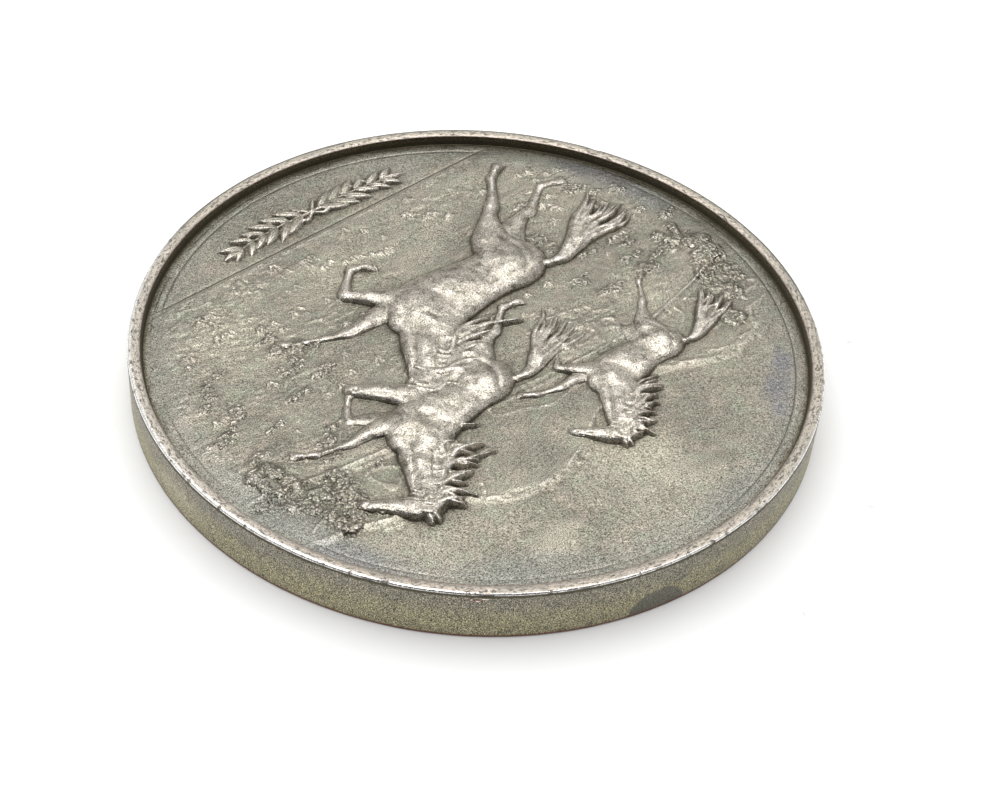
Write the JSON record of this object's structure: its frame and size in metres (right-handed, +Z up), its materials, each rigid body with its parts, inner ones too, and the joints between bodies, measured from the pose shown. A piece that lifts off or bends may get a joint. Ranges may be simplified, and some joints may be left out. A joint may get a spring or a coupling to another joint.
{
  "type": "medallion",
  "caption": "Thick round struck prize medal with raised rims, a picture in relief on the obverse and a plain reverse.",
  "frame": {"origin": "centre of the reverse rim's plane, on which the medal rests", "axes": "+Z up through the medal from reverse to obverse, +Y towards the top of the picture, +X towards its right"},
  "size_m": [0.051, 0.051, 0.0043],
  "materials": {
    "silver": "satin, toned dark in the recesses"
  },
  "bodies": {
    "root": {"medal": "silver"}
  },
  "joints": []
}
